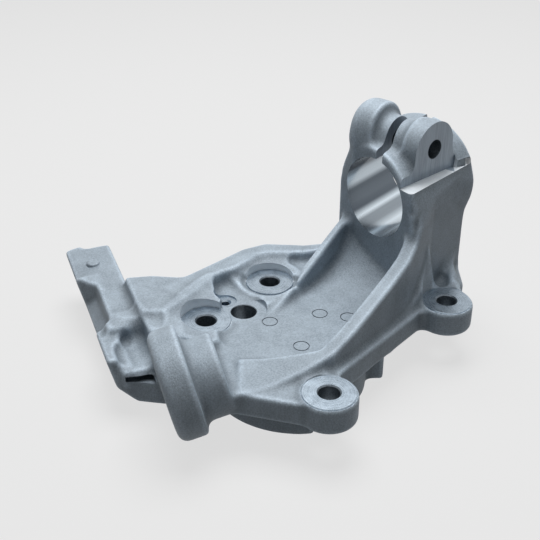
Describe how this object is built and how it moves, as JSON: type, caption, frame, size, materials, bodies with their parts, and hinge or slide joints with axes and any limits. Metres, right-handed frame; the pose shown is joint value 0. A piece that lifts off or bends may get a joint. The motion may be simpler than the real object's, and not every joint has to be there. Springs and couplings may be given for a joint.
{
  "type": "steering knuckle",
  "caption": "Cast steering knuckle with a split strut clamp, round hub seat, caliper lugs, ball joint barrel and a flat steering arm.",
  "frame": {"origin": "on the hub axis, in the plane of the hub seat", "axes": "+Z along the hub axis to the middle of the car, +X up the car along the strut clamp's bore, +Y along the car to the steering arm's side"},
  "size_m": [0.256, 0.2663, 0.1565],
  "materials": {
    "casting": "as cast, grainy and dull, with bright turned and milled faces"
  },
  "bodies": {
    "root": {"knuckle": "casting"}
  },
  "joints": []
}
